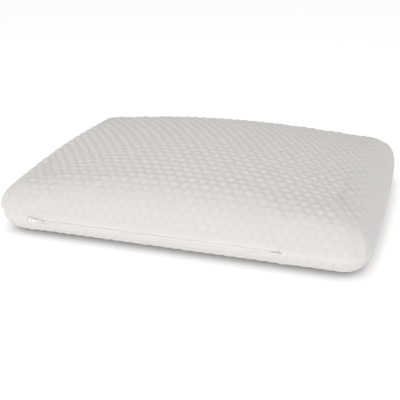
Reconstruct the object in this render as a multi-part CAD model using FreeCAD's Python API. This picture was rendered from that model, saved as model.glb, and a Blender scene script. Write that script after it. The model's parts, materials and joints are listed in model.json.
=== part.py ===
import FreeCAD, Part

import math
import os

# A bed pillow: a domed block of memory foam in a thin jersey liner, inside a removable cover of
# thick bubble knit. The cover is two panels sewn edge to edge low on the walls, with a zip in the
# front seam. Millimetres. +X along the pillow, +Y towards the back, +Z up. The origin is the
# centre of the underside.

Vector = FreeCAD.Vector

# Overall form
LENGTH = 600.0
WIDTH = 410.0
HEIGHT = 128.0
SEAM_HEIGHT = 31.0  # where the pillow is widest and the two panels meet
CORNER_RADIUS = 36.0  # in plan, at the seam
SHARPEST_CORNER = 12.0  # in plan, where the form turns in under itself
END_BOW = 6.0  # how far the middle of each short end stands out beyond its corners
CROWN = 48.0  # rise of the top from the shoulder to the middle
SHOULDER_INSET = 58.0  # how far the wall leans in up to the shoulder
SHOULDER_FULLNESS = 2.5  # exponent of the shoulder's curve: 2 is an ellipse, more is squarer
BASE_INSET = 36.0  # how far the wall turns in below the seam, down to the flat base

# Layers, from the outside in
COVER_THICKNESS = 3.0
LINER_THICKNESS = 0.8
LAYER_GAP = 0.3
LINER_DEPTH = COVER_THICKNESS + LAYER_GAP
FOAM_DEPTH = LINER_DEPTH + LINER_THICKNESS + LAYER_GAP
CUTTER_DEPTH = COVER_THICKNESS + 0.6  # past the cover's inner face, so that a cutter cuts through

# Zip, in the front seam
ZIP_START = -234.0
ZIP_LENGTH = 406.0
ZIP_END = ZIP_START + ZIP_LENGTH
ZIP_OPENING = 7.2  # height of the gap between the two edges of the cover
TAPE_OUTER_DEPTH = 1.3
TAPE_THICKNESS = 0.6
TAPE_WIDTH = 9.0
TAPE_CLEARANCE = 0.2
CHAIN_GAP = 1.6  # between the two coils, which leaves room for the slider's wedge
COIL_WIDTH = 1.5
COIL_THICKNESS = 1.5
COIL_PROUD = 0.3  # how far the coils stand out of the cover's surface
TACK_LENGTH = 2.0
TACK_PROUD = 0.9

# Sewing
STITCH_PITCH = 4.0
STITCH_LENGTH = 2.8
THREAD_RADIUS = 0.2
STITCH_OFFSET = 5.4  # of each row of stitches from the middle of the zip
OVERLOCK_OUTER_DEPTH = 1.7
OVERLOCK_INNER_DEPTH = 2.7
OVERLOCK_HEIGHT = 6.0
OVERLOCK_CLEARANCE = 0.2

# Slider and its pull
SLIDER_LENGTH = 9.0
SLIDER_NOSE_WIDTH = 7.4
SLIDER_TAIL_WIDTH = 6.6
SLIDER_CLEARANCE = 0.3
OUTER_PLATE = 1.0
INNER_PLATE = 0.6
INNER_PLATE_WIDTH = 5.8
FLANGE_THICKNESS = 0.6
WEDGE_LENGTH = 1.8
WEDGE_WIDTH = 0.9
LUG_WIDTH = 1.6
LUG_RADIUS = 1.3
PIVOT_HEIGHT = 1.0  # of the pull's axis above the slider's outer plate
PIN_RADIUS = 0.52
EYE_RADIUS = 0.6
PULL_LENGTH = 22.0
PULL_WIDTH = 4.6
PULL_THICKNESS = 1.0
PULL_YOKE_GAP = 0.4
PULL_SLOT_LENGTH = 8.0
PULL_SLOT_WIDTH = 1.6

FRONT = -WIDTH / 2  # the front wall's outer surface at the seam

# Control points of the form's surfaces
CORNER_POINTS = 7
LONG_SIDE_POINTS = 12
SHORT_SIDE_POINTS = 7
BASE_ROWS = 8
SHOULDER_ROWS = 11
TOP_ROWS = (0.86, 0.7, 0.52, 0.34, 0.17)  # outlines of the top, as shares of the shoulder's


def plan_outline(half_length, half_width, corner):
    """Control points once round a rounded rectangle whose short ends are gently bowed."""
    points = []
    corners = ((1, 1, 0), (-1, 1, 90), (-1, -1, 180), (1, -1, 270))
    for x_side, y_side, start in corners:
        centre = Vector(x_side * (half_length - corner), y_side * (half_width - corner), 0)
        for i in range(CORNER_POINTS):
            angle = math.radians(start + 90.0 * i / (CORNER_POINTS - 1))
            points.append(centre + Vector(math.cos(angle), math.sin(angle), 0) * corner)
        along_x = start in (0, 180)
        count = LONG_SIDE_POINTS if along_x else SHORT_SIDE_POINTS
        turned = (x_side, -y_side) if not along_x else (-x_side, y_side)
        end = Vector(
            turned[0] * (half_length - (corner if along_x else 0)),
            turned[1] * (half_width - (0 if along_x else corner)),
            0,
        )
        begin = points[-1]
        for i in range(1, count + 1):
            points.append(begin + (end - begin) * (i / (count + 1)))
    bow = END_BOW / half_length
    return [Vector(p.x * (1 - bow * (p.y / half_width) ** 2), p.y, 0) for p in points]


def inset_outline(depth, inset):
    """The form's outline, inset from where it is widest, for the form depth inside the surface."""
    corner = math.hypot(CORNER_RADIUS - depth - inset, SHARPEST_CORNER * min(1, inset / BASE_INSET))
    return plan_outline(LENGTH / 2 - depth - inset, WIDTH / 2 - depth - inset, corner)


def crown_at(point, depth):
    """Rise of the domed top at a point in plan."""
    across = point.x / (LENGTH / 2 - depth)
    along = point.y / (WIDTH / 2 - depth)
    return CROWN * (1 - across**2) * (1 - along**2)


def rounder(point, share):
    """A point of the shoulder's outline moved a share of the way to the ellipse inside it."""
    half_length = LENGTH / 2 - SHOULDER_INSET
    half_width = WIDTH / 2 - SHOULDER_INSET
    reach = math.hypot(point.x / half_length, point.y / half_width)
    return point * (1 + share * (1 / reach - 1))


def upper_rows(depth):
    """Rows of control points from the seam over the shoulder to the middle of the top."""
    rise_height = HEIGHT - CROWN - SEAM_HEIGHT - depth
    power = 2 / SHOULDER_FULLNESS
    rows = []
    for i in range(SHOULDER_ROWS):
        angle = math.radians(90.0 * i / (SHOULDER_ROWS - 1))
        inset = (SHOULDER_INSET - depth) * (1 - max(math.cos(angle), 0) ** power)
        rise = math.sin(angle) ** power
        crowned = 1 - (1 - rise) ** 4
        level = SEAM_HEIGHT + rise_height * rise
        rows.append(
            [
                Vector(p.x, p.y, level + crowned * crown_at(p, depth))
                for p in inset_outline(depth, inset)
            ]
        )
    shoulder = inset_outline(depth, SHOULDER_INSET - depth)
    for share in TOP_ROWS + (0,):
        scaled = [rounder(p, 1 - share) * share for p in shoulder]
        level = SEAM_HEIGHT + rise_height
        rows.append([Vector(p.x, p.y, level + crown_at(p, depth)) for p in scaled])
    return rows


def lower_rows(depth):
    """Rows of control points from the seam down to the edge of the flat base."""
    rows = []
    for i in range(BASE_ROWS):
        angle = math.radians(90.0 * (1 - i / (BASE_ROWS - 1)))
        inset = (BASE_INSET - depth) * (1 - math.sin(angle))
        level = depth + (SEAM_HEIGHT - depth) * (1 - math.cos(angle))
        rows.append([Vector(p.x, p.y, level) for p in inset_outline(depth, inset)])
    return rows


def ring_face(rows):
    """A smooth face over rows of control points, each row closed on itself."""
    across = len(rows)
    around = len(rows[0])
    across_knots = list(range(across - 2))
    across_mults = [4] + [1] * (across - 4) + [4]
    around_knots = list(range(around + 1))
    around_mults = [1] * (around + 1)
    surface = Part.BSplineSurface()
    surface.buildFromPolesMultsKnots(
        rows, across_mults, around_mults, across_knots, around_knots, False, True, 3, 3
    )
    return surface.toShape()


def rim_wire(face, level):
    """The closed edge of a face that lies flat at a level."""
    edges = [
        edge
        for edge in face.Edges
        if abs(edge.BoundBox.ZMin - level) < 1e-4 and abs(edge.BoundBox.ZMax - level) < 1e-4
    ]
    return Part.Wire(edges[0])


def solid_from(faces):
    """A closed solid sewn from faces."""
    shell = Part.makeShell(faces)
    shell.sewShape()
    solid = Part.Solid(shell)
    return solid if solid.Volume > 0 else solid.reversed()


def form(depth):
    """The whole pillow form, depth inside its outer surface."""
    upper = ring_face(upper_rows(depth))
    lower = ring_face(lower_rows(depth))
    base = Part.Face(rim_wire(lower, depth))
    return solid_from([upper, lower, base])


def dome(depth):
    """The form above the seam."""
    upper = ring_face(upper_rows(depth))
    return solid_from([upper, Part.Face(rim_wire(upper, SEAM_HEIGHT))])


def tray(depth):
    """The form below the seam."""
    lower = ring_face(lower_rows(depth))
    base = Part.Face(rim_wire(lower, depth))
    lid = Part.Face(rim_wire(lower, SEAM_HEIGHT))
    return solid_from([lower, base, lid])


def block(x_min, x_max, y_min, y_max, z_min, z_max):
    """A box between two corners."""
    return Part.makeBox(x_max - x_min, y_max - y_min, z_max - z_min, Vector(x_min, y_min, z_min))


def layer(outer_depth, inner_depth):
    """A skin that follows the form between two depths."""
    return form(outer_depth).cut(form(inner_depth))


def front_block(x_min, x_max, half_height):
    """A box across the front wall, centred on the seam's height."""
    low = SEAM_HEIGHT - half_height
    return block(x_min, x_max, FRONT - 5, FRONT + 15, low, low + 2 * half_height)


def seam_band(half_height, clearance):
    """A slab about the seam all the way round, less the stretch that the zip takes."""
    low = SEAM_HEIGHT - half_height
    slab = block(-LENGTH, LENGTH, -WIDTH, WIDTH, low, low + 2 * half_height)
    gap = TAPE_CLEARANCE + 2 - clearance
    return slab.cut(front_block(ZIP_START - gap, ZIP_END + gap, half_height + 1))


def zip_window():
    """The gap in the front wall that shows the zip."""
    return front_block(ZIP_START, ZIP_END, ZIP_OPENING / 2)


def tape_pocket():
    """The space behind the cover's edges that holds the two tapes and the slider's inner plate."""
    half_height = CHAIN_GAP / 2 + TAPE_WIDTH + TAPE_CLEARANCE
    box = front_block(ZIP_START - TAPE_CLEARANCE, ZIP_END + TAPE_CLEARANCE, half_height)
    return layer(TAPE_OUTER_DEPTH - TAPE_CLEARANCE, CUTTER_DEPTH).common(box)


def overlock_groove():
    """The space inside the seam that holds the overlocked seam allowance."""
    skin = layer(OVERLOCK_OUTER_DEPTH - OVERLOCK_CLEARANCE, CUTTER_DEPTH)
    return skin.common(seam_band(OVERLOCK_HEIGHT / 2 + OVERLOCK_CLEARANCE, OVERLOCK_CLEARANCE))


def cover_panel(half_form):
    """One panel of the cover, cut out for the zip and for the seam allowance."""
    panel = half_form(0).cut(half_form(COVER_THICKNESS))
    for cutter in (zip_window(), tape_pocket(), overlock_groove()):
        panel = panel.cut(cutter)
    return panel


def cover_top():
    """The upper panel: the top and the walls down to the seam."""
    return cover_panel(dome)


def cover_bottom():
    """The lower panel: the underside and the walls up to the seam."""
    return cover_panel(tray)


def perimeter_overlock():
    """The overlocked seam allowance that joins the two panels inside the cover."""
    skin = layer(OVERLOCK_OUTER_DEPTH, OVERLOCK_INNER_DEPTH)
    return skin.common(seam_band(OVERLOCK_HEIGHT / 2, 0))


def inner_liner():
    """The thin sewn-shut jersey liner round the foam."""
    return layer(LINER_DEPTH, LINER_DEPTH + LINER_THICKNESS)


def foam_core():
    """The moulded block of memory foam."""
    return form(FOAM_DEPTH)


def zip_tape(side):
    """One woven tape, which follows the wall behind the cover's edge. side is 1 above, -1 below."""
    near = SEAM_HEIGHT + side * CHAIN_GAP / 2
    far = near + side * TAPE_WIDTH
    box = block(ZIP_START, ZIP_END, FRONT - 5, FRONT + 15, min(near, far), max(near, far))
    return layer(TAPE_OUTER_DEPTH, TAPE_OUTER_DEPTH + TAPE_THICKNESS).common(box)


def zip_coil(side):
    """One nylon coil on the outer face of its tape, as a bar of the coil's outer size."""
    start = ZIP_START + TACK_LENGTH + 2 * SLIDER_CLEARANCE
    end = ZIP_END - TACK_LENGTH - 2 * SLIDER_CLEARANCE
    near = SEAM_HEIGHT + side * CHAIN_GAP / 2
    far = near + side * COIL_WIDTH
    face = FRONT - COIL_PROUD
    bar = block(start, end, face, face + COIL_THICKNESS, min(near, far), max(near, far))
    long_edges = [edge for edge in bar.Edges if edge.Length > ZIP_LENGTH / 2]
    return bar.makeFillet(COIL_THICKNESS / 4, long_edges)


def end_tack(start):
    """A bar of thread sewn across one end of the chain."""
    low = SEAM_HEIGHT - ZIP_OPENING / 2 + TAPE_CLEARANCE
    high = SEAM_HEIGHT + ZIP_OPENING / 2 - TAPE_CLEARANCE
    back = FRONT + TAPE_OUTER_DEPTH - TAPE_CLEARANCE
    bar = block(start, start + TACK_LENGTH, FRONT - TACK_PROUD, back, low, high)
    outer_edges = [edge for edge in bar.Edges if edge.BoundBox.YMax < FRONT]
    return bar.makeFillet(TACK_LENGTH / 4, outer_edges)


def wall_inset(height):
    """How far the front wall leans in at a height near the seam."""
    if height < SEAM_HEIGHT:
        drop = (SEAM_HEIGHT - height) / SEAM_HEIGHT
        return BASE_INSET * (1 - math.sqrt(1 - drop**2))
    rise = (height - SEAM_HEIGHT) / (HEIGHT - CROWN - SEAM_HEIGHT)
    lean = (1 - rise**SHOULDER_FULLNESS) ** (1 / SHOULDER_FULLNESS)
    return SHOULDER_INSET * (1 - lean)


def zip_stitching(side):
    """One row of stitches along the zip, as separate runs of thread on the cover's edge."""
    height = SEAM_HEIGHT + side * STITCH_OFFSET
    y = FRONT + wall_inset(height) - THREAD_RADIUS - 0.05
    straight = STITCH_LENGTH - 2 * THREAD_RADIUS
    thread = Part.makeCylinder(THREAD_RADIUS, straight, Vector(0, y, height), Vector(1, 0, 0))
    for x in (0, straight):
        thread = thread.fuse(Part.makeSphere(THREAD_RADIUS, Vector(x, y, height)))
    count = int(ZIP_LENGTH / STITCH_PITCH)
    first = ZIP_START + (ZIP_LENGTH - (count - 1) * STITCH_PITCH - straight) / 2
    stitches = []
    for i in range(count):
        stitch = thread.copy()
        stitch.translate(Vector(first + i * STITCH_PITCH, 0, 0))
        stitches.append(stitch)
    return Part.makeCompound(stitches)


def slider_middle():
    """The slider's middle along the zip when the zip is closed."""
    return ZIP_START + TACK_LENGTH + SLIDER_CLEARANCE + SLIDER_LENGTH / 2


def tapered_plate(nose_width, tail_width, y_min, thickness):
    """A plate of the slider, wider at the nose, where the two coils part."""
    nose = slider_middle() - SLIDER_LENGTH / 2
    tail = nose + SLIDER_LENGTH
    waist = slider_middle()
    half_widths = ((nose, nose_width / 2), (waist, nose_width / 2), (tail, tail_width / 2))
    above = [Vector(x, y_min, SEAM_HEIGHT + w) for x, w in half_widths]
    below = [Vector(x, y_min, SEAM_HEIGHT - w) for x, w in reversed(half_widths)]
    outline = Part.makePolygon(above + below + above[:1])
    plate = Part.Face(outline).extrude(Vector(0, thickness, 0))
    corners = [edge for edge in plate.Edges if edge.BoundBox.YLength > thickness / 2]
    return plate.makeFillet(0.8, corners)


def zip_slider():
    """The slider: two plates joined by a wedge, rails over the coils and a lug for the pull."""
    middle = slider_middle()
    nose = middle - SLIDER_LENGTH / 2
    plate_inside = FRONT - COIL_PROUD - SLIDER_CLEARANCE
    plate_outside = plate_inside - OUTER_PLATE
    inner_face = FRONT + LINER_DEPTH - LAYER_GAP - INNER_PLATE
    rail_inside = FRONT + TAPE_OUTER_DEPTH - SLIDER_CLEARANCE
    rail_near = CHAIN_GAP / 2 + COIL_WIDTH + SLIDER_CLEARANCE

    slider = tapered_plate(SLIDER_NOSE_WIDTH, SLIDER_TAIL_WIDTH, plate_outside, OUTER_PLATE)
    rim = [edge for edge in slider.Edges if edge.BoundBox.YMax < plate_outside + 1e-6]
    slider = slider.makeFillet(0.35, rim)
    inner = tapered_plate(INNER_PLATE_WIDTH, INNER_PLATE_WIDTH - 0.6, inner_face, INNER_PLATE)
    wedge = block(
        nose + 0.4,
        nose + 0.4 + WEDGE_LENGTH,
        plate_inside - OUTER_PLATE / 2,
        inner_face + INNER_PLATE / 2,
        SEAM_HEIGHT - WEDGE_WIDTH / 2,
        SEAM_HEIGHT + WEDGE_WIDTH / 2,
    )
    slider = slider.fuse(wedge).fuse(inner)
    for side in (1, -1):
        near = SEAM_HEIGHT + side * rail_near
        far = near + side * FLANGE_THICKNESS
        rail = block(
            middle - 2.0,
            middle + SLIDER_LENGTH / 2 - 0.5,
            plate_inside - OUTER_PLATE / 2,
            rail_inside,
            min(near, far),
            max(near, far),
        )
        slider = slider.fuse(rail)

    pivot = Vector(middle, plate_outside - PIVOT_HEIGHT, SEAM_HEIGHT - LUG_WIDTH / 2)
    foot = block(
        middle - LUG_RADIUS,
        middle + LUG_RADIUS,
        pivot.y,
        plate_outside + OUTER_PLATE / 2,
        pivot.z,
        pivot.z + LUG_WIDTH,
    )
    lug = foot.fuse(Part.makeCylinder(LUG_RADIUS, LUG_WIDTH, pivot))
    slider = slider.fuse(lug).removeSplitter()
    return slider.cut(Part.makeCylinder(EYE_RADIUS, LUG_WIDTH, pivot))


def zip_pull():
    """The pull: a yoke with a cross pin through the slider's lug, and a flat tab with a slot."""
    middle = slider_middle()
    axis_y = FRONT - COIL_PROUD - SLIDER_CLEARANCE - OUTER_PLATE - PIVOT_HEIGHT
    y_min = axis_y - PULL_THICKNESS / 2
    y_max = axis_y + PULL_THICKNESS / 2
    half_width = PULL_WIDTH / 2
    yoke_inside = LUG_WIDTH / 2 + PULL_YOKE_GAP
    round_x = middle + PULL_LENGTH - half_width

    tab = block(middle, round_x, y_min, y_max, SEAM_HEIGHT - half_width, SEAM_HEIGHT + half_width)
    end_centre = Vector(round_x, y_min, SEAM_HEIGHT)
    tab = tab.fuse(Part.makeCylinder(half_width, PULL_THICKNESS, end_centre, Vector(0, 1, 0)))
    for side in (1, -1):
        knuckle_z = SEAM_HEIGHT + side * yoke_inside - (half_width - yoke_inside) * (side < 0)
        knuckle = Part.makeCylinder(
            PULL_THICKNESS / 2, half_width - yoke_inside, Vector(middle, axis_y, knuckle_z)
        )
        tab = tab.fuse(knuckle)
    tab = tab.removeSplitter()
    yoke = block(
        middle - PULL_THICKNESS,
        middle + LUG_RADIUS + PULL_YOKE_GAP,
        y_min,
        y_max,
        SEAM_HEIGHT - yoke_inside,
        SEAM_HEIGHT + yoke_inside,
    )
    slot_start = round_x - PULL_SLOT_LENGTH
    slot = block(
        slot_start,
        round_x,
        y_min,
        y_max,
        SEAM_HEIGHT - PULL_SLOT_WIDTH / 2,
        SEAM_HEIGHT + PULL_SLOT_WIDTH / 2,
    )
    for x in (slot_start, round_x):
        slot = slot.fuse(
            Part.makeCylinder(
                PULL_SLOT_WIDTH / 2, PULL_THICKNESS, Vector(x, y_min, SEAM_HEIGHT), Vector(0, 1, 0)
            )
        )
    pin_start = Vector(middle, axis_y, SEAM_HEIGHT - yoke_inside - 0.2)
    pin = Part.makeCylinder(PIN_RADIUS, 2 * yoke_inside + 0.4, pin_start)
    return tab.cut(yoke).cut(slot).fuse(pin)


def main():
    os.makedirs("parts", exist_ok=True)
    nodes = {
        "foam_core": foam_core(),
        "inner_liner": inner_liner(),
        "cover_top": cover_top(),
        "cover_bottom": cover_bottom(),
        "perimeter_overlock": perimeter_overlock(),
        "zip_tape_upper": zip_tape(1),
        "zip_tape_lower": zip_tape(-1),
        "zip_coil_upper": zip_coil(1),
        "zip_coil_lower": zip_coil(-1),
        "zip_end_tack_closed": end_tack(ZIP_START),
        "zip_end_tack_open": end_tack(ZIP_END - TACK_LENGTH),
        "zip_stitching_upper": zip_stitching(1),
        "zip_stitching_lower": zip_stitching(-1),
        "zip_slider": zip_slider(),
        "zip_pull": zip_pull(),
    }
    for name, shape in nodes.items():
        shape.exportStep(f"parts/{name}.step")
        print(name, shape.isValid(), len(shape.Solids), round(shape.Volume, 1))


main()
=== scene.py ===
import json
import math

import bmesh
import bpy
import numpy as np
from mathutils import Matrix, Vector
from mathutils.bvhtree import BVHTree

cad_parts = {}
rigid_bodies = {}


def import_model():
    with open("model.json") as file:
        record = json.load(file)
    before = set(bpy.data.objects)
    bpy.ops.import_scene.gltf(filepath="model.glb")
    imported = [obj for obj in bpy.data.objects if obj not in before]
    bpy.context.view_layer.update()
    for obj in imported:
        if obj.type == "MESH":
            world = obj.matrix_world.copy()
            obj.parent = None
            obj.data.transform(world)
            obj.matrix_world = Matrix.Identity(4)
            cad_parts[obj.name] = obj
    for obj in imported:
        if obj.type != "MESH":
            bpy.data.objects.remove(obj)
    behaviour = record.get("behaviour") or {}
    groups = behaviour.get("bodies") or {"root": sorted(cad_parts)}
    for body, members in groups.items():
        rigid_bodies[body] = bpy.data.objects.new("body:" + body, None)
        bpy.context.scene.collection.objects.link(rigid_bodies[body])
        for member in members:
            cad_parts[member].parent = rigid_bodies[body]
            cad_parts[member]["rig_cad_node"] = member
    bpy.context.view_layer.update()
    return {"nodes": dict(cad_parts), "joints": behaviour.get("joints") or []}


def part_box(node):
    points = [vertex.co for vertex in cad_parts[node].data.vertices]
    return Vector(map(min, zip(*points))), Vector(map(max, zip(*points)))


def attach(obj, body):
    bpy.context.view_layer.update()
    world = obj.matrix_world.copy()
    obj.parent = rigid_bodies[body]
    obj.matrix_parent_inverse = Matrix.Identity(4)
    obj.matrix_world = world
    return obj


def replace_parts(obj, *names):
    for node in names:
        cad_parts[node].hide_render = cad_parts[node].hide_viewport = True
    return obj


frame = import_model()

MM = 0.001
TURN = 2 * math.pi

# The form, with the same rules as the part's source.
TOP_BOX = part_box("cover_top")
BASE_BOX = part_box("cover_bottom")
HALF_LENGTH = TOP_BOX[1].x
HALF_WIDTH = TOP_BOX[1].y
HEIGHT = TOP_BOX[1].z
SEAM_HEIGHT = BASE_BOX[1].z
CORNER_RADIUS = 36 * MM
SHARPEST_CORNER = 12 * MM
END_BOW = 6 * MM
CROWN = 48 * MM
SHOULDER_INSET = 58 * MM
SHOULDER_FULLNESS = 2.5
BASE_INSET = 36 * MM
COVER_THICKNESS = 2.4 * MM  # from the valleys between the bubbles to the knit's inner face
LINER_DEPTH = 3.3 * MM
LINER_THICKNESS = 0.8 * MM
FOAM_DEPTH = 4.4 * MM

# The walls run round the form from the front left corner: front, right, back, left.
ALONG = np.array([(1, 0), (0, 1), (-1, 0), (0, -1)], float)
OUT = np.array([(0, -1), (1, 0), (0, 1), (-1, 0)], float)
STRAIGHT_SHARE = np.array([0.91, 0.86, 0.91, 0.86])  # of each wall that isn't corner

# The zip, which opens a window between the two panels in the front wall.
TAPE_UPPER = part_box("zip_tape_upper")
TAPE_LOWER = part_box("zip_tape_lower")
COIL_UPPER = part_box("zip_coil_upper")
COIL_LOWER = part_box("zip_coil_lower")
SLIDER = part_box("zip_slider")
SLIDE_TRAVEL = next(j["range_m"][1] for j in frame["joints"] if j["name"] == "zip_slide")
ZIP_START = TAPE_UPPER[0].x
ZIP_END = TAPE_UPPER[1].x
TACK_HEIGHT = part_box("zip_end_tack_open")[1].z - SEAM_HEIGHT
WINDOW_HALF = TACK_HEIGHT + 0.5 * MM
SEAM_GAP = 0.02 * MM
TAPE_TAIL = 4 * MM  # of each tape, behind the cover past its end tack
TAPE_DEPTH = 1.3 * MM  # from the cover's face to the tape's
TAPE_THICKNESS = 0.5 * MM
WINDOW_MARGIN = 0.25 * MM
WINDOW_TAPER = 1.25 * MM  # to each side of the window's end

# The bubble knit.
BUBBLE_PITCH = 16.5 * MM
BUBBLE_ROW = 11.2 * MM
BUBBLE_RISE = 3.1 * MM
VALLEY_DEPTH = 1.6 * MM
CREASE_SHIFT = 7 * MM  # from each corner's middle round to the end wall
CREASE_RISE = 3.0 * MM
GATHER_RISE = 0.45 * MM
ROLL_RISE = 0.5 * MM  # of the knit beside the zip
TUCK_DEPTH = 1.0 * MM  # of the knit's edge at the zip
LOWEST_KNIT = 0.05 * MM  # keeps the underside just clear of the floor
FABRIC = "Fabric"  # the coordinates in metres of each piece's flat cloth

# The meshes, as columns and lines of a cap and rows down its walls.
PANEL_COUNTS = (128, 88)
UPPER_ROWS = 20
LOWER_ROWS = 12

# The cloth simulation, and what is kept of it.
SETTLING_FRAMES = 16
SWELL_ROUNDS = 40
WRINKLE_SHARE = 0.45
WRINKLE_RANGE = (-0.3 * MM, 1.0 * MM)

# The studio, set against the photograph.
FLOOR_GLOW = 0.26
SKY_STRENGTH = 0.735
KEY_POWER = 21.5
FILL_POWER = 1.3
# How far the floor's painted contact shadow reaches.
PAINTED_SHADOW_REACH = 23 * MM
LIGHT_AIM = Vector((0, -0.1, 0.05))
CAMERA_ANGLES = (19.88, 24.12, -1.81)  # azimuth, elevation and roll in degrees
CAMERA_LENS = 64.01
CAMERA_DISTANCE = 1.2228
CAMERA_AIM_HEIGHT = 50 * MM
CAMERA_SHIFT_RIGHT = 15.2 * MM
CAMERA_SHIFT_UP = 42.4 * MM


def smooth(value, start, end):
    """0 before start, 1 after end, and a smooth step between them."""
    share = np.clip((value - start) / (end - start), 0, 1)
    return share * share * (3 - 2 * share)


def outline(wall, place, inset, depth):
    """Plan position of a place on a wall, and its distance along the wall from the middle."""
    lengthwise = wall % 2 == 0
    half_along = np.where(lengthwise, HALF_LENGTH, HALF_WIDTH) - depth - inset
    half_out = np.where(lengthwise, HALF_WIDTH, HALF_LENGTH) - depth - inset
    sharp = SHARPEST_CORNER * np.minimum(1, inset / BASE_INSET)
    corner = np.hypot(CORNER_RADIUS - depth - inset, sharp)
    share = STRAIGHT_SHARE[wall]
    turn = np.clip((abs(place) - share) / (1 - share), 0, 1) * math.pi / 4
    straight = np.minimum(abs(place) / share, 1) * (half_along - corner)
    along = np.sign(place) * (straight + corner * np.sin(turn))
    out = half_out - corner * (1 - np.cos(turn))
    x = along * ALONG[wall, 0] + out * OUT[wall, 0]
    y = along * ALONG[wall, 1] + out * OUT[wall, 1]
    half_x = HALF_LENGTH - depth - inset
    half_y = HALF_WIDTH - depth - inset
    x = x * (1 - END_BOW / half_x * (y / half_y) ** 2)
    return x, y, np.sign(place) * (straight + corner * turn)


def crown_at(x, y, depth):
    """Rise of the domed top at a point in plan."""
    across = x / (HALF_LENGTH - depth)
    along = y / (HALF_WIDTH - depth)
    return CROWN * (1 - across**2) * (1 - along**2)


def profile(upper, depth):
    """Inset, level and share of the crown down a wall, against the arc from the cap's edge."""
    angle = np.linspace(math.pi / 2, 0, 241)
    if upper:
        power = 2 / SHOULDER_FULLNESS
        lean = np.maximum(np.cos(angle), 0) ** power
        inset = (SHOULDER_INSET - depth) * (1 - lean)
        rise = np.sin(angle) ** power
        level = SEAM_HEIGHT + (HEIGHT - CROWN - SEAM_HEIGHT - depth) * rise
        crowned = 1 - (1 - rise) ** 4
    else:
        inset = (BASE_INSET - depth) * (1 - np.sin(math.pi / 2 - angle))
        level = depth + (SEAM_HEIGHT - depth) * (1 - np.cos(math.pi / 2 - angle))
        crowned = np.zeros_like(angle)
    steps = np.hypot(np.diff(inset), np.diff(level))
    return np.concatenate([[0], np.cumsum(steps)]), inset, level, crowned


def along_zip(x, margin, taper):
    """1 along the zip and a margin beyond its ends, and 0 past a taper on each side of that."""
    begun = smooth(x, ZIP_START - margin - taper, ZIP_START - margin + taper)
    return begun * (1 - smooth(x, ZIP_END + margin - taper, ZIP_END + margin + taper))


def window_trim(x, wall):
    """How much shorter a wall is where the zip's window takes its edge."""
    return np.where(wall == 0, WINDOW_HALF * along_zip(x, WINDOW_MARGIN, WINDOW_TAPER), 0)


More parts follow.
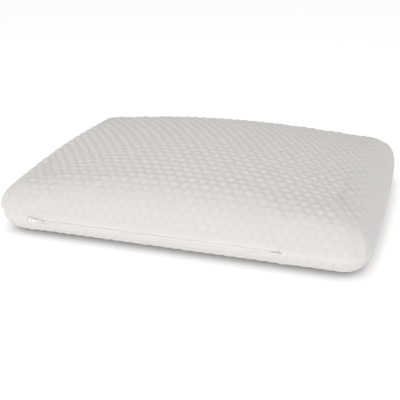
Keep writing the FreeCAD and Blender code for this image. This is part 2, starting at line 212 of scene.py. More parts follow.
def panel_points(upper, depth, counts, rows, trimmed):
    """Points, fabric coordinates, fields and faces of one panel: a cap and its four walls."""
    arc, inset, level, crowned = profile(upper, depth)
    wall = np.repeat(np.arange(4), counts * 2)
    starts = np.concatenate([np.linspace(-1, 1, n, endpoint=False) for n in counts * 2])
    steps = np.concatenate([np.full(n, 2 / n) for n in counts * 2])
    share = np.linspace(0, 1, rows + 1)[:, None]

    def strip(place):
        """Rows of points down the walls at a place on each, with their fabric and fields."""
        edge_x, edge_y, edge_run = outline(wall, place, inset[0], depth)
        trim = np.zeros(len(wall))
        if trimmed:
            trim = SEAM_GAP + window_trim(outline(wall, place, 0, depth)[0], wall)
        length = arc[-1] - trim
        fall = share * length
        here = np.interp(fall, arc, inset)
        x, y, run = outline(wall, place, here, depth)
        z = np.interp(fall, arc, level) + np.interp(fall, arc, crowned) * crown_at(x, y, depth)
        stretch = run - edge_run
        s = edge_x + ALONG[wall, 0] * stretch + OUT[wall, 0] * fall
        t = edge_y + ALONG[wall, 1] * stretch + OUT[wall, 1] * fall
        corner_run = outline(wall, np.ones(len(wall)), here, depth)[2]
        dart = corner_run - abs(run)
        return np.stack([x, y, z], -1), np.stack([s, t], -1), fall, length - fall, dart

    points, fabric, fall, rim, dart = strip(starts)
    fabric_end = strip(starts + steps)[1]
    around = len(wall)
    ring = np.arange((rows + 1) * around).reshape(rows + 1, around)
    following = np.roll(ring, -1, 1)
    quads = [ring[1:], following[1:], following[:-1], ring[:-1]]
    corners = [fabric[1:], fabric_end[1:], fabric_end[:-1], fabric[:-1]]
    wall_faces = np.stack(quads, -1).reshape(-1, 4)
    wall_fabric = np.stack(corners, -2).reshape(-1, 4, 2)

    columns, lines = counts
    grid = np.zeros((lines + 1, columns + 1), int)
    grid[0] = ring[0, : columns + 1]
    grid[:, -1] = ring[0, columns : columns + lines + 1]
    grid[-1] = ring[0, columns + lines : 2 * columns + lines + 1][::-1]
    grid[1:, 0] = ring[0, 2 * columns + lines :][::-1]
    count = (lines - 1) * (columns - 1)
    grid[1:-1, 1:-1] = np.arange(ring.size, ring.size + count).reshape(lines - 1, columns - 1)
    edge = np.vstack([points.reshape(-1, 3)[:, :2], np.zeros((count, 2))])
    u = np.linspace(0, 1, columns + 1)[None, :, None]
    v = np.linspace(0, 1, lines + 1)[:, None, None]
    flat = edge[grid]
    front, back, left, right = flat[:1], flat[-1:], flat[:, :1], flat[:, -1:]
    lengthwise = (1 - v) * front + v * back
    sideways = (1 - u) * left + u * right
    front_mix = (1 - u) * front[:, :1] + u * front[:, -1:]
    back_mix = (1 - u) * back[:, :1] + u * back[:, -1:]
    cap = lengthwise + sideways - (1 - v) * front_mix - v * back_mix
    inner = cap[1:-1, 1:-1].reshape(-1, 2)
    height = level[0] + crowned[0] * crown_at(inner[:, 0], inner[:, 1], depth)
    cap_faces = np.stack([grid[:-1, :-1], grid[:-1, 1:], grid[1:, 1:], grid[1:, :-1]], -1)
    cap_faces = cap_faces.reshape(-1, 4)

    points = np.vstack([points.reshape(-1, 3), np.column_stack([inner, height])])
    faces = np.vstack([wall_faces, cap_faces])
    fabric = np.concatenate([wall_fabric, points[cap_faces][:, :, :2]])
    if not upper:
        faces[: len(wall_faces)] = faces[: len(wall_faces), ::-1]
        fabric[: len(wall_faces)] = fabric[: len(wall_faces), ::-1]
        faces[len(wall_faces) :] = faces[len(wall_faces) :, ::-1]
        fabric[len(wall_faces) :] = fabric[len(wall_faces) :, ::-1]
    fields = {
        "fall": np.concatenate([fall.ravel(), np.zeros(count)]),
        "rim": np.concatenate([rim.ravel(), np.full(count, arc[-1])]),
        "dart": np.concatenate([dart.ravel(), np.full(count, HALF_WIDTH)]),
    }
    return points, faces, fabric, fields


def build_mesh(name, points, faces, fabric=None, fields=None):
    """A smooth-shaded mesh of quads with its fabric coordinates and point fields."""
    mesh = bpy.data.meshes.new(name)
    mesh.from_pydata([tuple(p) for p in points], [], [tuple(map(int, f)) for f in faces])
    if fabric is not None:
        mesh.uv_layers.new(name=FABRIC).data.foreach_set("uv", np.ravel(fabric))
    for field, values in (fields or {}).items():
        mesh.attributes.new(field, "FLOAT", "POINT").data.foreach_set("value", np.ravel(values))
    mesh.shade_smooth()
    mesh.update()
    return mesh


def build_object(name, mesh):
    """An object for a mesh, in the scene."""
    obj = bpy.data.objects.new(name, mesh)
    bpy.context.scene.collection.objects.link(obj)
    return obj


def read(items, key, width):
    """One property of a mesh's vertices or loops as an array of rows."""
    values = np.zeros(len(items) * width, np.float32)
    items.foreach_get(key, values)
    return values.reshape(-1, width).astype(float) if width > 1 else values.astype(float)


def field(mesh, name):
    """A point field of a mesh."""
    return read(mesh.attributes[name].data, "value", 1)


def apply_modifiers(obj):
    """Replaces an object's mesh with what its modifiers make of it."""
    depsgraph = bpy.context.evaluated_depsgraph_get()
    mesh = bpy.data.meshes.new_from_object(obj.evaluated_get(depsgraph))
    obj.modifiers.clear()
    obj.data = mesh
    return mesh


def spread(mesh, values, rounds):
    """Values at a mesh's points, averaged with their neighbours' a number of times."""
    ends = np.zeros(len(mesh.edges) * 2, np.int32)
    mesh.edges.foreach_get("vertices", ends)
    first, second = ends.reshape(-1, 2).T
    count = len(mesh.vertices)
    neighbours = np.bincount(first, minlength=count) + np.bincount(second, minlength=count)
    for _ in range(rounds):
        total = np.bincount(first, values[second], count)
        total += np.bincount(second, values[first], count)
        values = (values + total / neighbours) / 2
    return values


def settle(obj, slack, pressure):
    """Wrinkles from a short cloth simulation of a panel held at its rim and corner seams.

    The knit is cut a little larger than the foam, so it buckles where it is sewn down. The slow
    swell of the whole panel is left out, because the foam holds the form, and the wrinkles that
    are kept are scaled down and limited.
    """
    mesh = obj.data
    before = read(mesh.vertices, "co", 3)
    fall, rim, dart = (field(mesh, name) for name in ("fall", "rim", "dart"))
    held = (rim < 0.5 * MM) | ((dart < 0.5 * MM) & (fall > 50 * MM))
    pins = obj.vertex_groups.new(name="pins")
    pins.add([int(i) for i in np.flatnonzero(held)], 1.0, "REPLACE")
    modifier = obj.modifiers.new("Cloth", "CLOTH")
    cloth = modifier.settings
    cloth.vertex_group_mass = "pins"
    cloth.use_pressure = True
    cloth.uniform_pressure_force = pressure
    cloth.shrink_min = -slack
    cloth.effector_weights.gravity = 0
    cloth.quality = 4
    cloth.bending_stiffness = 0.3
    modifier.point_cache.frame_start = 1
    modifier.point_cache.frame_end = SETTLING_FRAMES
    for frame_number in range(1, SETTLING_FRAMES + 1):
        bpy.context.scene.frame_set(frame_number)
    mesh = apply_modifiers(obj)
    bpy.context.scene.frame_set(1)
    obj.vertex_groups.clear()
    after = read(mesh.vertices, "co", 3)
    mesh.vertices.foreach_set("co", before.ravel())
    mesh.update()
    normals = read(mesh.vertex_normals, "vector", 3)
    swell = np.sum((after - before) * normals, 1)
    wrinkle = swell - spread(mesh, swell, SWELL_ROUNDS)
    wrinkle *= smooth(rim, 2 * MM, 20 * MM)
    wrinkle = np.clip(WRINKLE_SHARE * wrinkle, *WRINKLE_RANGE)
    mesh.vertices.foreach_set("co", (before + normals * wrinkle[:, None]).ravel())
    mesh.update()


def bubbles(s, t):
    """Height of the knitted bubbles, from 0 in the valleys to 1, at fabric coordinates."""
    wander = 0.3 * MM * np.sin(s / (31 * MM) + 1.3 * np.sin(t / (47 * MM)))
    drift = 0.3 * MM * np.sin(t / (37 * MM) + 1.1 * np.sin(s / (53 * MM)))
    across = (s + wander) / BUBBLE_PITCH
    along = (t + drift) / (2 * BUBBLE_ROW)
    waves = np.cos(TURN * (across + along)) + np.cos(TURN * (across - along))
    waves = (waves + np.cos(2 * TURN * along) + 1.5) / 4.5
    return np.clip(waves, 0, 1) ** 0.6


def unevenness(s, t):
    """Slow change from bubble to bubble, about 1."""
    first = np.sin(s / (7.3 * MM) + 2 * np.sin(t / (19 * MM)))
    second = np.sin(t / (6.1 * MM) - 2 * np.sin(s / (23 * MM)))
    return 1 + 0.12 * first * second


def puckers(s, t, rim, amplitude, reach):
    """Small gathers that lean away from the seam."""
    lean = s + 0.75 * t
    wave = np.sin(TURN * lean / (17 * MM) + 2.2 * np.sin(TURN * lean / (71 * MM)))
    wave += 0.5 * np.sin(TURN * lean / (10.3 * MM) + 1.7 * np.sin(TURN * lean / (43 * MM)))
    return amplitude * wave * np.exp(-rim / reach) * smooth(rim, 0, 4 * MM)


def raise_knit(mesh, upper):
    """Lifts the bubbles, the gathers along the seam and the corner creases out of a panel."""
    mesh.update()
    corner_vertex = np.zeros(len(mesh.loops), np.int32)
    mesh.loops.foreach_get("vertex_index", corner_vertex)
    coordinates = read(mesh.uv_layers[FABRIC].data, "uv", 2)
    fabric = np.zeros((len(mesh.vertices), 2))
    fabric[corner_vertex] = coordinates
    s, t = fabric.T
    points = read(mesh.vertices, "co", 3)
    normals = read(mesh.vertex_normals, "vector", 3)
    fall, rim, dart = (field(mesh, name) for name in ("fall", "rim", "dart"))
    on_corner = smooth(fall, 35 * MM, 62 * MM)

    plain = smooth(rim, 2.5 * MM, 7 * MM)
    plain *= 1 - on_corner * (1 - smooth(dart, 1 * MM, 5 * MM))
    plain *= 1 - 0.7 * smooth(fall, 2 * MM, 15 * MM) * (1 - smooth(dart, 0.5 * MM, 6 * MM))
    flatness = 0.17 + 0.83 * smooth(abs(normals[:, 2]), 0.72, 1.0)
    if not upper:
        flatness *= 0.6
    height = bubbles(s, t)
    lift = plain * flatness * (BUBBLE_RISE * height * unevenness(s, t) - VALLEY_DEPTH)
    amplitude, reach = (0.3 * MM, 16 * MM) if upper else (0.4 * MM, 22 * MM)
    lift += puckers(s, t, rim, amplitude, reach)
    sideways = abs(normals[:, 0]) > abs(normals[:, 1])
    crease = abs(np.where(sideways, dart - CREASE_SHIFT, dart + CREASE_SHIFT))
    ridge = np.exp(-crease / (7 * MM)) * CREASE_RISE
    gathers = GATHER_RISE * np.cos(TURN * crease / (6 * MM)) * np.exp(-crease / (14 * MM))
    lift += on_corner * smooth(rim, 0, 10 * MM) * (ridge + gathers)
    beside_zip = (points[:, 0] > ZIP_START) & (points[:, 0] < ZIP_END) & (points[:, 1] < 0)
    lift += ROLL_RISE * beside_zip * np.exp(-(((rim - 3.5 * MM) / (2 * MM)) ** 2))
    lift -= TUCK_DEPTH * beside_zip * np.exp(-((rim / (2.4 * MM)) ** 2))

    points += normals * lift[:, None]
    points[:, 2] = np.maximum(points[:, 2], LOWEST_KNIT)
    mesh.vertices.foreach_set("co", points.ravel())
    # Colour field: 0 in the valleys, which get darker ground yarn and painted shade, 1 on the
    # bubbles and the plain knit.
    valley_yarn_and_shade_field = mesh.attributes.new("bubble", "FLOAT", "POINT")
    valley_yarn_and_shade_field.data.foreach_set("value", np.clip(height * plain + (1 - plain), 0, 1))
    band = mesh.attributes.new("seam_band", "FLOAT", "POINT")
    band.data.foreach_set("value", 1 - smooth(rim, 2 * MM, 5.5 * MM))
    mesh.update()


def inner_skin(upper, rows):
    """The knit's inner face, thinner along the zip, where the tape is sewn behind it."""
    counts = tuple(n // 2 for n in PANEL_COUNTS)
    points, faces, fabric, fields = panel_points(upper, COVER_THICKNESS, counts, rows // 2, True)
    near_zip = along_zip(points[:, 0], 13 * MM, 2 * MM) * (points[:, 1] < 0)
    near_zip *= 1 - smooth(fields["rim"], 9 * MM, 16 * MM)
    points[:, 1] -= 1.1 * MM * near_zip
    return build_mesh("inner", points, faces[:, ::-1], fabric[:, ::-1], fields)


def rim_edges(edges):
    """The open edges among some edges."""
    return [edge for edge in edges if edge.is_boundary]


def cover_panel(node, upper, rows):
    """One panel of the cover: bubble knit outside, plain inside, closed round its edge."""
    drawn = panel_points(upper, 0, PANEL_COUNTS, rows, True)
    obj = build_object(node + "_knit", build_mesh(node, *drawn))
    settle(obj, slack=0.025, pressure=1.0)
    refine = obj.modifiers.new("Refine", "SUBSURF")
    refine.levels = refine.render_levels = 1
    refine.uv_smooth = "NONE"
    raise_knit(apply_modifiers(obj), upper)

    inner = inner_skin(upper, rows)
    joined = bmesh.new()
    joined.from_mesh(obj.data)
    outer_rim = rim_edges(joined.edges)
    joined.from_mesh(inner)
    inner_rim = [edge for edge in rim_edges(joined.edges) if edge not in set(outer_rim)]
    bmesh.ops.bridge_loops(joined, edges=outer_rim + inner_rim)
    bmesh.ops.recalc_face_normals(joined, faces=joined.faces)
    for face in joined.faces:
        face.smooth = True
    for edge in outer_rim + inner_rim:
        edge.smooth = False
    joined.to_mesh(obj.data)
    joined.free()
    bpy.data.meshes.remove(inner)
    return obj


def closed_form(name, depth):
    """The whole form at a depth, as one closed smooth skin."""
    counts = tuple(n // 2 for n in PANEL_COUNTS)
    whole = bmesh.new()
    for upper, rows in ((True, UPPER_ROWS // 2), (False, LOWER_ROWS // 2)):
        half = build_mesh(name, *panel_points(upper, depth, counts, rows, False))
        whole.from_mesh(half)
        bpy.data.meshes.remove(half)
    bmesh.ops.remove_doubles(whole, verts=whole.verts, dist=0.01 * MM)
    mesh = bpy.data.meshes.new(name)
    whole.to_mesh(mesh)
    whole.free()
    mesh.shade_smooth()
    obj = build_object(name, mesh)
    refine = obj.modifiers.new("Refine", "SUBSURF")
    refine.levels = refine.render_levels = 1
    return obj


def foam_core():
    """The moulded foam, with the faint dimples of its mould skin."""
    obj = closed_form("foam_core_block", FOAM_DEPTH)
    mesh = apply_modifiers(obj)
    points = read(mesh.vertices, "co", 3)
    normals = read(mesh.vertex_normals, "vector", 3)
    dimples = np.sin(points[:, 0] / (9 * MM)) * np.sin(points[:, 1] / (8 * MM) + 1)
    points -= normals * (0.12 * MM * (1 + dimples))[:, None]
    mesh.vertices.foreach_set("co", points.ravel())
    mesh.update()
    return obj


def inner_liner():
    """The sewn-shut jersey bag round the foam."""
    obj = closed_form("inner_liner_bag", LINER_DEPTH)
    skin = obj.modifiers.new("Skin", "SOLIDIFY")
    skin.thickness = LINER_THICKNESS
    skin.offset = -1
    apply_modifiers(obj)
    return obj


def ribbon(name, x, heights, front, thickness):
    """A closed strip along the front wall: front gives its outer face at each x and height."""
    across, up = np.meshgrid(x, heights)
    outer = np.stack([across, front(across, up), up], -1)
    inner = outer + np.array([0, thickness, 0])
    lines, columns = across.shape
    section = np.concatenate([outer, inner[::-1]])
    points = section.transpose(1, 0, 2).reshape(-1, 3)
    around = 2 * lines
    index = np.arange(columns * around).reshape(columns, around)
    shifted = np.roll(index, -1, 1)
    sides = np.stack([index[:-1], index[1:], shifted[1:], shifted[:-1]], -1).reshape(-1, 4)
    half = np.arange(lines - 1)
    caps = [
        np.stack([row[half], row[half + 1], row[around - 2 - half], row[around - 1 - half]], -1)
        for row in (index[0], index[-1])
    ]
    faces = np.vstack([sides, caps[0], caps[1][:, ::-1]])
    fabric = points[faces][:, :, [0, 2]]
    return build_mesh(name, points, faces, fabric)


def wall_inset(height):
    """How far the front wall leans in at a height near the seam."""
    drop = np.clip((SEAM_HEIGHT - height) / SEAM_HEIGHT, 0, 1)
    rise = np.clip((height - SEAM_HEIGHT) / (HEIGHT - CROWN - SEAM_HEIGHT), 0, 1)
    below = BASE_INSET * (1 - np.sqrt(1 - drop**2))
    above = SHOULDER_INSET * (1 - (1 - rise**SHOULDER_FULLNESS) ** (1 / SHOULDER_FULLNESS))
    return below + above


def zip_tape(node, box):
    """One woven tape with its ribbed edge, gently uneven along its length."""

    def front(x, z):
        """The outer face's depth at a place along the tape and a height."""
        waver = 0.12 * MM * np.sin(x / (11 * MM) + z / (2 * MM))
        ribs = 0.05 * MM * np.cos(TURN * z / (1.5 * MM))
        return -HALF_WIDTH + TAPE_DEPTH + wall_inset(z) + waver + ribs

    x = np.linspace(box[0].x - TAPE_TAIL, box[1].x + TAPE_TAIL, 415)
    heights = np.linspace(box[0].z, box[1].z, 25)
    return build_object(node + "_weave", ribbon(node, x, heights, front, TAPE_THICKNESS))


def thread(name, paths, radius, sides=2):
    """Round thread or wire of one radius along each path, as a mesh."""
    curve = bpy.data.curves.new(name, "CURVE")
    curve.dimensions = "3D"
    curve.bevel_depth = radius
    curve.bevel_resolution = sides
    curve.use_fill_caps = True
    for path in paths:
        spline = curve.splines.new("POLY")
        spline.points.add(len(path) - 1)
        spline.points.foreach_set("co", np.column_stack([path, np.ones(len(path))]).ravel())
    source = build_object(name, curve)
    depsgraph = bpy.context.evaluated_depsgraph_get()
    mesh = bpy.data.meshes.new_from_object(source.evaluated_get(depsgraph))
    bpy.data.objects.remove(source)
    mesh.shade_smooth()
    return build_object(name, mesh)


def zip_coil(node, box, side):
    """One nylon coil whose loops mesh with the other's, but not where the slider's travel ends."""
    pitch = 1.25 * MM
    steps = 8
    turns = int((box[1].x - box[0].x) / pitch)
    angle = np.linspace(0, TURN * turns, turns * steps + 1)
    x = box[0].x + 0.3 * MM + pitch * angle / TURN
    wire = 0.3 * MM
    last_stop = SLIDER[0].x + SLIDE_TRAVEL
    parted = 1 - smooth(x, SLIDER[1].x - 2 * MM, SLIDER[1].x + 2 * MM)
    parted += smooth(x, last_stop - 2 * MM, last_stop + 1 * MM)
    near = -0.25 * MM + 0.95 * MM * parted
    far = 2.35 * MM
    middle = (near + far) / 2
    phase = (side < 0) * math.pi
    z = SEAM_HEIGHT + side * (middle + (far - near - wire) / 2 * np.cos(angle + phase))
    centre = (box[0].y + box[1].y) / 2
    y = centre + ((box[1].y - box[0].y) / 2 - wire) * np.sin(angle)
    return thread(node + "_loops", [np.column_stack([x, y, z])], wire, 1)


def end_tack(node):
    """Thread wrapped over the end of the chain in a dense bar."""
    low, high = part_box(node)
    radius = 0.22 * MM
    paths = []
    for x in np.linspace(low.x + radius, high.x - radius, 6):
        arch = np.linspace(0, math.pi, 9)
        z = (low.z + high.z) / 2 - np.cos(arch) * ((high.z - low.z) / 2 - radius)
        y = high.y - 0.3 * MM - np.sin(arch) ** 0.5 * (high.y - low.y - 0.3 * MM - radius)
        paths.append(np.column_stack([np.full(len(z), x), y, z]))
    return thread(node + "_thread", paths, radius)


def stitching(node, panel):
    """A row of lockstitches that dip into the panel at both ends."""
    pitch = 4 * MM
    length = 2.8 * MM
    low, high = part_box(node)
    surface = BVHTree.FromObject(panel, bpy.context.evaluated_depsgraph_get())
    height = (low.z + high.z) / 2
    paths = []
    for x in np.arange(low.x, high.x - 2 * MM, pitch):
        path = []
        for share in np.linspace(0, 1, 6):
            place = Vector((x + share * length, -HALF_WIDTH - 0.02, height))
            hit = surface.ray_cast(place, Vector((0, 1, 0)))[0]
            y = hit.y + 0.25 * MM - 0.4 * MM * math.sin(math.pi * share)
            path.append((place.x, y, height + 0.12 * MM * math.sin(x * 9000)))
        paths.append(np.array(path))
    return thread(node + "_thread", paths, 0.24 * MM)


def overlock():
    """The overlocked seam allowance, ridged by the thread that wraps it."""
    counts = (760, 512)
    sides = 12
    wall = np.repeat(np.arange(4), counts * 2)
    place = np.concatenate([np.linspace(-1, 1, n, endpoint=False) for n in counts * 2])
    low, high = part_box("perimeter_overlock")
    middle = (low.z + high.z) / 2
    half_height = (high.z - low.z) / 2
    x, y, run = outline(wall, place, 0.25 * MM, COVER_THICKNESS + 0.4 * MM)
    starts, stops = ZIP_END + 2 * MM, ZIP_START - 2 * MM
    first = int(np.argmax((wall == 0) & (x > starts)))
    x, y, run, wall = (np.roll(values, -first) for values in (x, y, run, wall))
    keep = (wall > 0) | (x > starts) | (x < stops)
    x, y, run, wall = x[keep], y[keep], run[keep], wall[keep]
    out = OUT[wall]
    rings = np.linspace(0, TURN, sides, endpoint=False)
    ridge = 1 + 0.12 * np.cos(TURN * run / (3 * MM))[:, None]
    depth = 0.3 * MM * np.cos(rings)[None, :] * ridge
    rise = half_height * np.sign(np.sin(rings)) * abs(np.sin(rings)) ** 0.5
    points = np.stack(
        [
            x[:, None] + out[:, :1] * depth,
            y[:, None] + out[:, 1:] * depth,
            middle + np.broadcast_to(rise, depth.shape),
        ],
        -1,
    )
    index = np.arange(points.shape[0] * sides).reshape(-1, sides)
    shifted = np.roll(index, -1, 1)
    quads = np.stack([index[:-1], shifted[:-1], shifted[1:], index[1:]], -1).reshape(-1, 4)
    faces = [tuple(face) for face in quads] + [tuple(index[0][::-1]), tuple(index[-1])]
    mesh = build_mesh("overlock", points.reshape(-1, 3), faces)
    return build_object("perimeter_overlock_seam", mesh)


class Shader:
    """A material with one Principled shader, and short ways to add nodes to it."""

    def __init__(self, name, **values):
        self.material = bpy.data.materials.new(name)
        self.material.use_nodes = True
        self.tree = self.material.node_tree
        self.surface = self.tree.nodes["Principled BSDF"]
        for key, value in values.items():
            self.surface.inputs[key.replace("_", " ")].default_value = value
        self.surface.inputs["Subsurface Radius"].default_value = (1, 1, 1)

    def add(self, kind, inputs=None, **settings):
        """A node with its settings, and its inputs set or linked."""
        node = self.tree.nodes.new("ShaderNode" + kind)
        for key, value in settings.items():
            setattr(node, key, value)
        for key, value in (inputs or {}).items():
            self.feed(node.inputs[key], value)
        return node

    def feed(self, socket, value):
        """Links another node's output to an input, or sets the input."""
        if isinstance(value, bpy.types.NodeSocket):
            self.tree.links.new(value, socket)
        else:
            socket.default_value = value

    def math(self, operation, first, second=0.0, third=0.0):
        """One sum on one or more values."""
        inputs = {0: first, 1: second, 2: third}
        return self.add("Math", inputs, operation=operation).outputs[0]

    def wave(self, value, length):
        """A wave of 0 to 1 along a distance, one for each length."""
        angle = self.math("MULTIPLY", value, TURN / length)
        return self.math("MULTIPLY_ADD", self.math("SINE", angle), 0.5, 0.5)

    def fabric(self):
        """The two fabric coordinates, in metres."""
        place = self.add("UVMap", uv_map=FABRIC).outputs["UV"]
        split = self.add("SeparateXYZ", {"Vector": place})
        return split.outputs["X"], split.outputs["Y"]

    def noise(self, size, detail=3.0):
        """Soft noise from 0 to 1 in the object's own space, with features of about a size."""
        place = self.add("TexCoord").outputs["Object"]
        inputs = {"Vector": place, "Scale": 1 / size, "Detail": detail}
        return self.add("TexNoise", inputs).outputs["Fac"]

    def ramp(self, factor, low, high, start=0.0, end=1.0):
        """A colour that goes from low to high as factor goes from start to end."""
        node = self.add("ValToRGB", {"Fac": factor})
        for stop, place, colour in zip(node.color_ramp.elements, (start, end), (low, high)):
            stop.position = place
            stop.color = (*colour, 1)
        return node.outputs["Color"]

    def colour(self, value):
        """Sets or links the base colour."""
        self.feed(self.surface.inputs["Base Color"], value)

    def roughness(self, value):
        """Sets or links the roughness."""
        self.feed(self.surface.inputs["Roughness"], value)

    def bump(self, *layers):
        """Bumps of (height, depth) laid over each other."""
        normal = None
        for height, depth in layers:
            inputs = {"Height": height, "Distance": depth, "Strength": 1.0}
            if normal is not None:
                inputs["Normal"] = normal
            normal = self.add("Bump", inputs).outputs["Normal"]
        self.feed(self.surface.inputs["Normal"], normal)

    def tint(self, first, second, share):
        """One colour multiplied by another, by a share."""
        inputs = {"Factor": share, "A": first, "B": second}
        node = self.add("Mix", data_type="RGBA", blend_type="MULTIPLY")
        for key, value in inputs.items():
            socket = next(s for s in node.inputs if s.name == key and s.enabled)
            self.feed(socket, value)
        return next(s for s in node.outputs if s.enabled)


def knit_loops(shader, wale, course):
    """Height of knitted loops from 0 to 1: columns of loops, each row shifted by half a loop."""
    s, t = shader.fabric()
    rows = shader.wave(t, course)
    sway = shader.math("MULTIPLY_ADD", rows, wale * 0.35, s)
    columns = shader.wave(sway, wale)
    return shader.math("MULTIPLY", shader.math("POWER", columns, 0.6), rows)


def bubble_knit():
    """Cream blister jacquard: fine loops, fuller and paler on the bubbles than between them, where
    the ground yarn is darker and shade is painted.
    """
    shader = Shader("bubble_knit", Sheen_Weight=0.25, Sheen_Roughness=0.4)
    loops = knit_loops(shader, 1.1 * MM, 0.9 * MM)
    bubble = shader.add("Attribute", attribute_name="bubble").outputs["Fac"]
    band = shader.add("Attribute", attribute_name="seam_band").outputs["Fac"]
    # Darker between the bubbles: the ground yarn's own tone and painted shade in the valleys.
    knit_colour_and_valley_shade = shader.ramp(bubble, (0.774, 0.753, 0.725), (0.813, 0.792, 0.766), 0.0, 0.75)
    knit_colour_and_valley_shade = shader.tint(knit_colour_and_valley_shade, shader.ramp(band, (0.96, 0.96, 0.96), (1, 1, 1)), 1.0)
    fuzz = shader.noise(2.5 * MM)
    shade = shader.ramp(fuzz, (0.96, 0.96, 0.955), (1, 1, 1), 0.3, 0.7)
    yarn = shader.ramp(loops, (0.93, 0.925, 0.915), (1, 1, 1), 0.1, 0.6)
    shader.colour(shader.tint(shader.tint(knit_colour_and_valley_shade, shade, 1.0), yarn, 1.0))
    shader.roughness(shader.math("MULTIPLY_ADD", fuzz, 0.15, 0.78))
    shader.bump((loops, 0.25 * MM), (shader.noise(0.4 * MM), 0.12 * MM))
    return shader.material


def liner_jersey():
    """Thin white jersey."""
    shader = Shader("liner_jersey", Sheen_Weight=0.15)
    loops = knit_loops(shader, 0.8 * MM, 0.7 * MM)
    shader.colour(shader.ramp(loops, (0.66, 0.66, 0.64), (0.8, 0.8, 0.78)))
    shader.roughness(shader.math("MULTIPLY_ADD", shader.noise(3 * MM), 0.1, 0.82))
    shader.bump((loops, 0.15 * MM))
    return shader.material


def memory_foam():
    """Pale foam with fine open pores and a slow change of colour."""
    shader = Shader("memory_foam", Subsurface_Weight=0.1, Subsurface_Scale=2 * MM)
    place = shader.add("TexCoord").outputs["Object"]
    cells = shader.add("TexVoronoi", {"Vector": place, "Scale": 1 / (1.4 * MM)})
    pores = cells.outputs["Distance"]
    cloud = shader.ramp(shader.noise(60 * MM), (0.78, 0.74, 0.6), (0.84, 0.8, 0.68), 0.3, 0.7)
    depth = shader.ramp(pores, (0.85, 0.85, 0.82), (1, 1, 1), 0.05, 0.4)
    shader.colour(shader.tint(cloud, depth, 1.0))
    shader.roughness(shader.math("MULTIPLY_ADD", pores, 0.1, 0.85))
    shader.bump((pores, 0.3 * MM))
    return shader.material


def sewing_thread():
    """White twisted polyester thread."""
    shader = Shader("sewing_thread", Sheen_Weight=0.2)
    place = shader.add("TexCoord").outputs["Object"]
    split = shader.add("SeparateXYZ", {"Vector": place}).outputs
    twist = shader.wave(shader.math("ADD", split["X"], split["Z"]), 0.35 * MM)
    shader.colour(shader.ramp(twist, (0.68, 0.665, 0.64), (0.77, 0.755, 0.73)))
    shader.roughness(shader.math("MULTIPLY_ADD", shader.noise(0.5 * MM), 0.2, 0.5))
    shader.bump((twist, 0.06 * MM))
    return shader.material


def zip_tape_weave():
    """White tape in a fine twill, whose wales cross it at a slant."""
    shader = Shader("zip_tape", Sheen_Weight=0.2)
    s, t = shader.fabric()
    twill = shader.wave(shader.math("ADD", s, t), 0.7 * MM)
    picks = shader.wave(s, 0.45 * MM)
    weave = shader.math("MULTIPLY_ADD", picks, 0.4, shader.math("MULTIPLY", twill, 0.6))
    shader.colour(shader.ramp(weave, (0.82, 0.805, 0.78), (0.89, 0.875, 0.85)))
    shader.roughness(shader.math("MULTIPLY_ADD", shader.noise(2 * MM), 0.15, 0.68))
    shader.bump((weave, 0.12 * MM))
    return shader.material


def zip_nylon():
    """Milky nylon wire with drawing marks."""
    shader = Shader("zip_nylon", Subsurface_Weight=0.2, Subsurface_Scale=0.5 * MM, IOR=1.53)
    marks = shader.noise(0.6 * MM)
    shader.colour(shader.ramp(marks, (0.9, 0.885, 0.86), (0.95, 0.935, 0.91), 0.3, 0.7))
    shader.roughness(shader.math("MULTIPLY_ADD", marks, 0.15, 0.3))
    shader.bump((marks, 0.02 * MM))
    return shader.material


def slider_enamel():
    """White baked enamel with a faint orange peel, dulled and warmed on its worn edges."""
    shader = Shader("slider_enamel", Coat_Weight=0.3)
    peel = shader.noise(0.8 * MM)
    edges = shader.add("NewGeometry").outputs["Pointiness"]
    wear = shader.math("MULTIPLY", shader.math("SUBTRACT", edges, 0.53), 8.0)
    wear = shader.math("MULTIPLY", wear, shader.noise(1.5 * MM))
    shader.colour(shader.ramp(wear, (0.78, 0.775, 0.755), (0.6, 0.58, 0.54), 0.1, 0.7))
    shader.roughness(shader.math("MULTIPLY_ADD", peel, 0.12, 0.25))
    shader.bump((peel, 0.03 * MM))
    return shader.material


FINISHES = {
    "bubble_knit": bubble_knit,
    "liner_jersey": liner_jersey,
    "memory_foam": memory_foam,
    "sewing_thread": sewing_thread,
    "zip_tape": zip_tape_weave,
    "zip_nylon": zip_nylon,
    "slider_enamel": slider_enamel,
}
FINISH_MATERIALS = {slot: make() for slot, make in FINISHES.items()}


def dress(obj, slot, body="pillow"):
    """Gives a piece its material and slot, and a body to ride on unless it is a CAD node."""
    obj.data.materials.clear()
    obj.data.materials.append(FINISH_MATERIALS[slot])
    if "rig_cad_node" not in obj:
        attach(obj, body)
    return obj


def build_pillow():
    """Every piece of the pillow, in place of its CAD solid or, for the slider, as its CAD solid."""
    panels = {}
    for node, upper, rows in (("cover_top", True, UPPER_ROWS), ("cover_bottom", False, LOWER_ROWS)):
        panels[node] = dress(cover_panel(node, upper, rows), "bubble_knit")
        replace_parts(panels[node], node)
    foam = dress(foam_core(), "memory_foam")
    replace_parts(foam, "foam_core")
    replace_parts(dress(inner_liner(), "liner_jersey"), "inner_liner")
    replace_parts(dress(overlock(), "sewing_thread"), "perimeter_overlock")
    for node, box in (("zip_tape_upper", TAPE_UPPER), ("zip_tape_lower", TAPE_LOWER)):
        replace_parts(dress(zip_tape(node, box), "zip_tape"), node)
    for node, box, side in (("zip_coil_upper", COIL_UPPER, 1), ("zip_coil_lower", COIL_LOWER, -1)):
        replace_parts(dress(zip_coil(node, box, side), "zip_nylon"), node)
    for node in ("zip_end_tack_closed", "zip_end_tack_open"):
        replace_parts(dress(end_tack(node), "sewing_thread"), node)
    for side, panel in (("upper", panels["cover_top"]), ("lower", panels["cover_bottom"])):
        node = "zip_stitching_" + side
        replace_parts(dress(stitching(node, panel), "sewing_thread"), node)
    for node in ("zip_slider", "zip_pull"):
        dress(frame["nodes"][node], "slider_enamel")


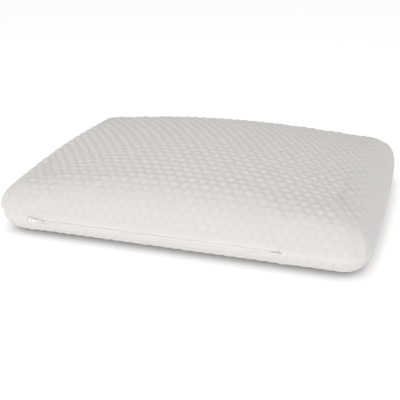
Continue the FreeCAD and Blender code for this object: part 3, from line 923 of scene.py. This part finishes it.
def white_floor():
    """A wide pale floor that glows a little, as a light table does.

    The camera sees a painted contact shadow on it where the pillow stands close over it.
    Light that bounces off it doesn't.
    """
    mesh = bpy.data.meshes.new("floor")
    reach = 9.0
    corners = [(-reach, -reach, 0), (reach, -reach, 0), (reach, reach, 0), (-reach, reach, 0)]
    mesh.from_pydata(corners, [], [(0, 1, 2, 3)])
    floor = build_object("floor", mesh)
    floor.location.z = -0.2 * MM
    shader = Shader("floor", Roughness=0.9, Emission_Strength=FLOOR_GLOW)
    # Painted contact shadow: the floor's colour and glow darken with ambient occlusion near the
    # pillow, for camera rays only.
    open_sky = shader.add("AmbientOcclusion", {"Distance": PAINTED_SHADOW_REACH}, samples=24).outputs["AO"]
    bounced = shader.math("SUBTRACT", 1.0, shader.add("LightPath").outputs["Is Camera Ray"])
    open_sky = shader.math("MAXIMUM", open_sky, bounced)
    painted_contact_shadow = shader.math("MULTIPLY_ADD", open_sky, 0.98, 0.24)
    painted_shadow_fade = shader.math("MULTIPLY_ADD", open_sky, 0.45, 0.5)
    shade = shader.math("MINIMUM", painted_contact_shadow, painted_shadow_fade)
    shader.colour(shade)
    shader.feed(shader.surface.inputs["Emission Color"], shade)
    shader.surface.inputs["Specular IOR Level"].default_value = 0.0
    mesh.materials.append(shader.material)


def soft_light(name, place, size, power):
    """A round soft light that faces the pillow."""
    light = bpy.data.lights.new(name, "AREA")
    light.shape = "DISK"
    light.size = size
    light.energy = power
    lamp = build_object(name, light)
    lamp.location = place
    aim = LIGHT_AIM - lamp.location
    lamp.rotation_euler = aim.to_track_quat("-Z", "Y").to_euler()


def studio_light():
    """A surround that is white to the camera, a large soft light in front and one at each end."""
    world = bpy.data.worlds.new("studio")
    world.use_nodes = True
    sky = world.node_tree.nodes["Background"]
    sky.inputs["Color"].default_value = (1, 1, 1, 1)
    seen = world.node_tree.nodes.new("ShaderNodeLightPath").outputs["Is Camera Ray"]
    level = world.node_tree.nodes.new("ShaderNodeMath")
    level.operation = "MAXIMUM"
    level.inputs[1].default_value = SKY_STRENGTH
    world.node_tree.links.new(seen, level.inputs[0])
    world.node_tree.links.new(level.outputs[0], sky.inputs["Strength"])
    bpy.context.scene.world = world
    soft_light("key", (0.1, -2.3, 1.15), 1.6, KEY_POWER)
    soft_light("fill_right", (1.8, 0.2, 0.7), 1.2, FILL_POWER)
    soft_light("fill_left", (-1.8, -0.5, 0.7), 1.2, FILL_POWER)


def camera():
    """The camera at the photograph's viewing angle."""
    azimuth, elevation, roll = (math.radians(a) for a in CAMERA_ANGLES)
    back = Vector(
        (
            math.sin(azimuth) * math.cos(elevation),
            -math.cos(azimuth) * math.cos(elevation),
            math.sin(elevation),
        )
    )
    level_right = Vector((math.cos(azimuth), math.sin(azimuth), 0))
    level_up = back.cross(level_right)
    right = level_right * math.cos(roll) + level_up * math.sin(roll)
    up = back.cross(right)
    aim = Vector((0, 0, CAMERA_AIM_HEIGHT)) - right * CAMERA_SHIFT_RIGHT - up * CAMERA_SHIFT_UP
    data = bpy.data.cameras.new("camera")
    data.lens = CAMERA_LENS
    data.sensor_width = 36.0
    data.clip_start, data.clip_end = 0.05, 50.0
    data.dof.use_dof = False
    obj = bpy.data.objects.new("camera", data)
    place = Matrix((right, up, back)).transposed().to_4x4()
    place.translation = aim + back * CAMERA_DISTANCE
    obj.matrix_world = place
    bpy.context.scene.collection.objects.link(obj)
    bpy.context.scene.camera = obj
    bpy.context.scene.view_settings.view_transform = "Standard"


build_pillow()
white_floor()
studio_light()
camera()
